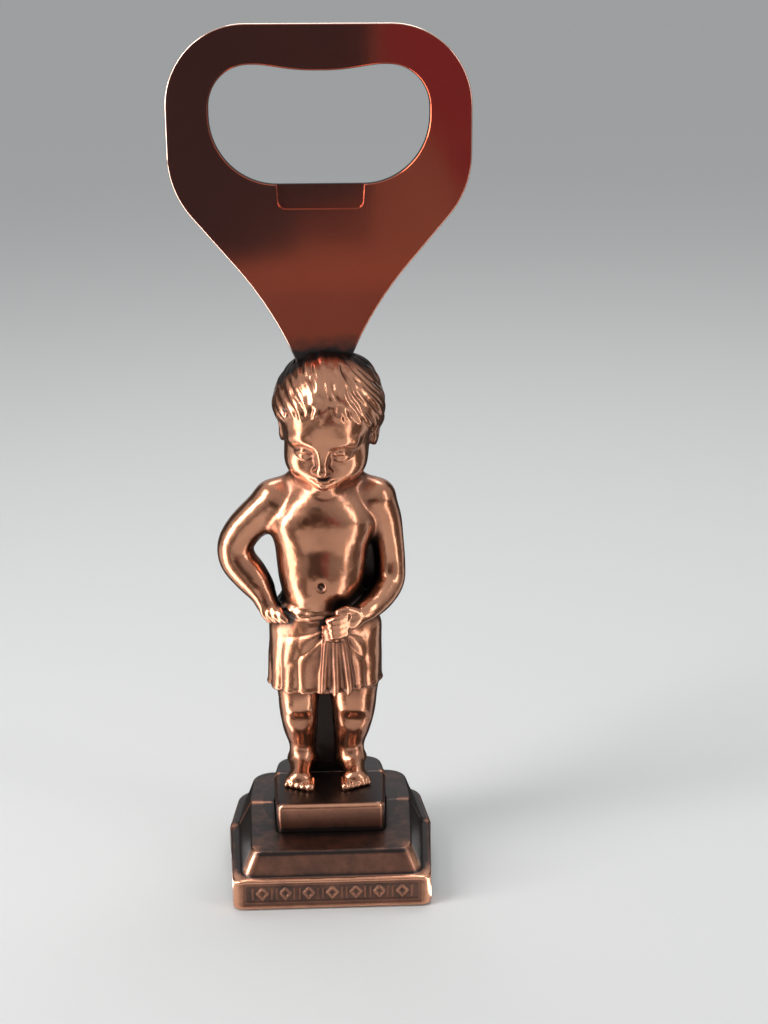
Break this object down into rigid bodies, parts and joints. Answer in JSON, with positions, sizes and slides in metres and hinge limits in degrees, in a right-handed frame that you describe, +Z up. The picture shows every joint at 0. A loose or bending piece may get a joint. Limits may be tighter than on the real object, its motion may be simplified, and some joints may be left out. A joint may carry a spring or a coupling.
{
  "type": "souvenir bottle opener",
  "caption": "Bottle opener with a flat copper-plated loop head set into a cast standing child figure in a hip cloth, on a stepped rectangular base.",
  "frame": {"origin": "centre of the underside of the base, on the surface it stands on", "axes": "+Z up through the figure to the opener loop, -Y the way the figure faces, +X to the right of someone who looks at its front"},
  "size_m": [0.0436, 0.0304, 0.13],
  "materials": {
    "polished_copper": "polished",
    "antiqued_copper": "polished copper plating, darkened in the recesses",
    "plated_steel": "satin",
    "felt": "matte"
  },
  "bodies": {
    "root": {"opener_plate": "polished_copper", "tang_pin": "plated_steel", "figure": "antiqued_copper", "base": "antiqued_copper", "base_screw": "plated_steel", "washer": "plated_steel", "base_pad": "felt"}
  },
  "joints": []
}
